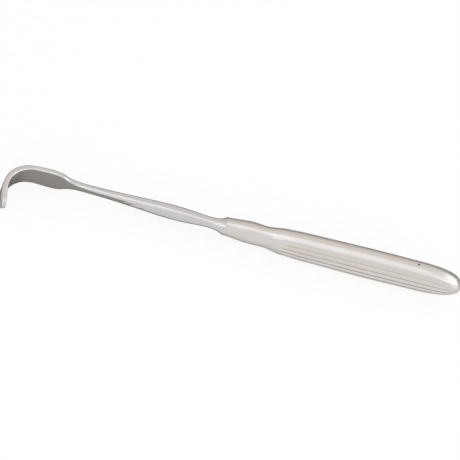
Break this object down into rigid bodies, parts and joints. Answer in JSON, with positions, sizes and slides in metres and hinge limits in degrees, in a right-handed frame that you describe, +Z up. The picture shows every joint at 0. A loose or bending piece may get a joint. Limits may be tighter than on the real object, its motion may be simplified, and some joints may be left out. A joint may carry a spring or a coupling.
{
  "type": "handheld surgical retractor",
  "caption": "Handheld surgical retractor: hollow fluted handle with a thumb rest, slim shank and one broad curved hook blade.",
  "frame": {"origin": "middle of the bounding box on the table, as the tool lies at rest on one narrow side", "axes": "+X along the tool towards the rear end of the handle, +Y away from the side to which the blade hooks, +Z up"},
  "size_m": [0.226, 0.026, 0.0174],
  "materials": {
    "forged_steel": "satin matt stainless steel",
    "pressed_steel": "satin matt stainless steel"
  },
  "bodies": {
    "root": {"blade_and_shank": "forged_steel", "handle_front_shell": "pressed_steel", "handle_back_shell": "pressed_steel"}
  },
  "joints": []
}
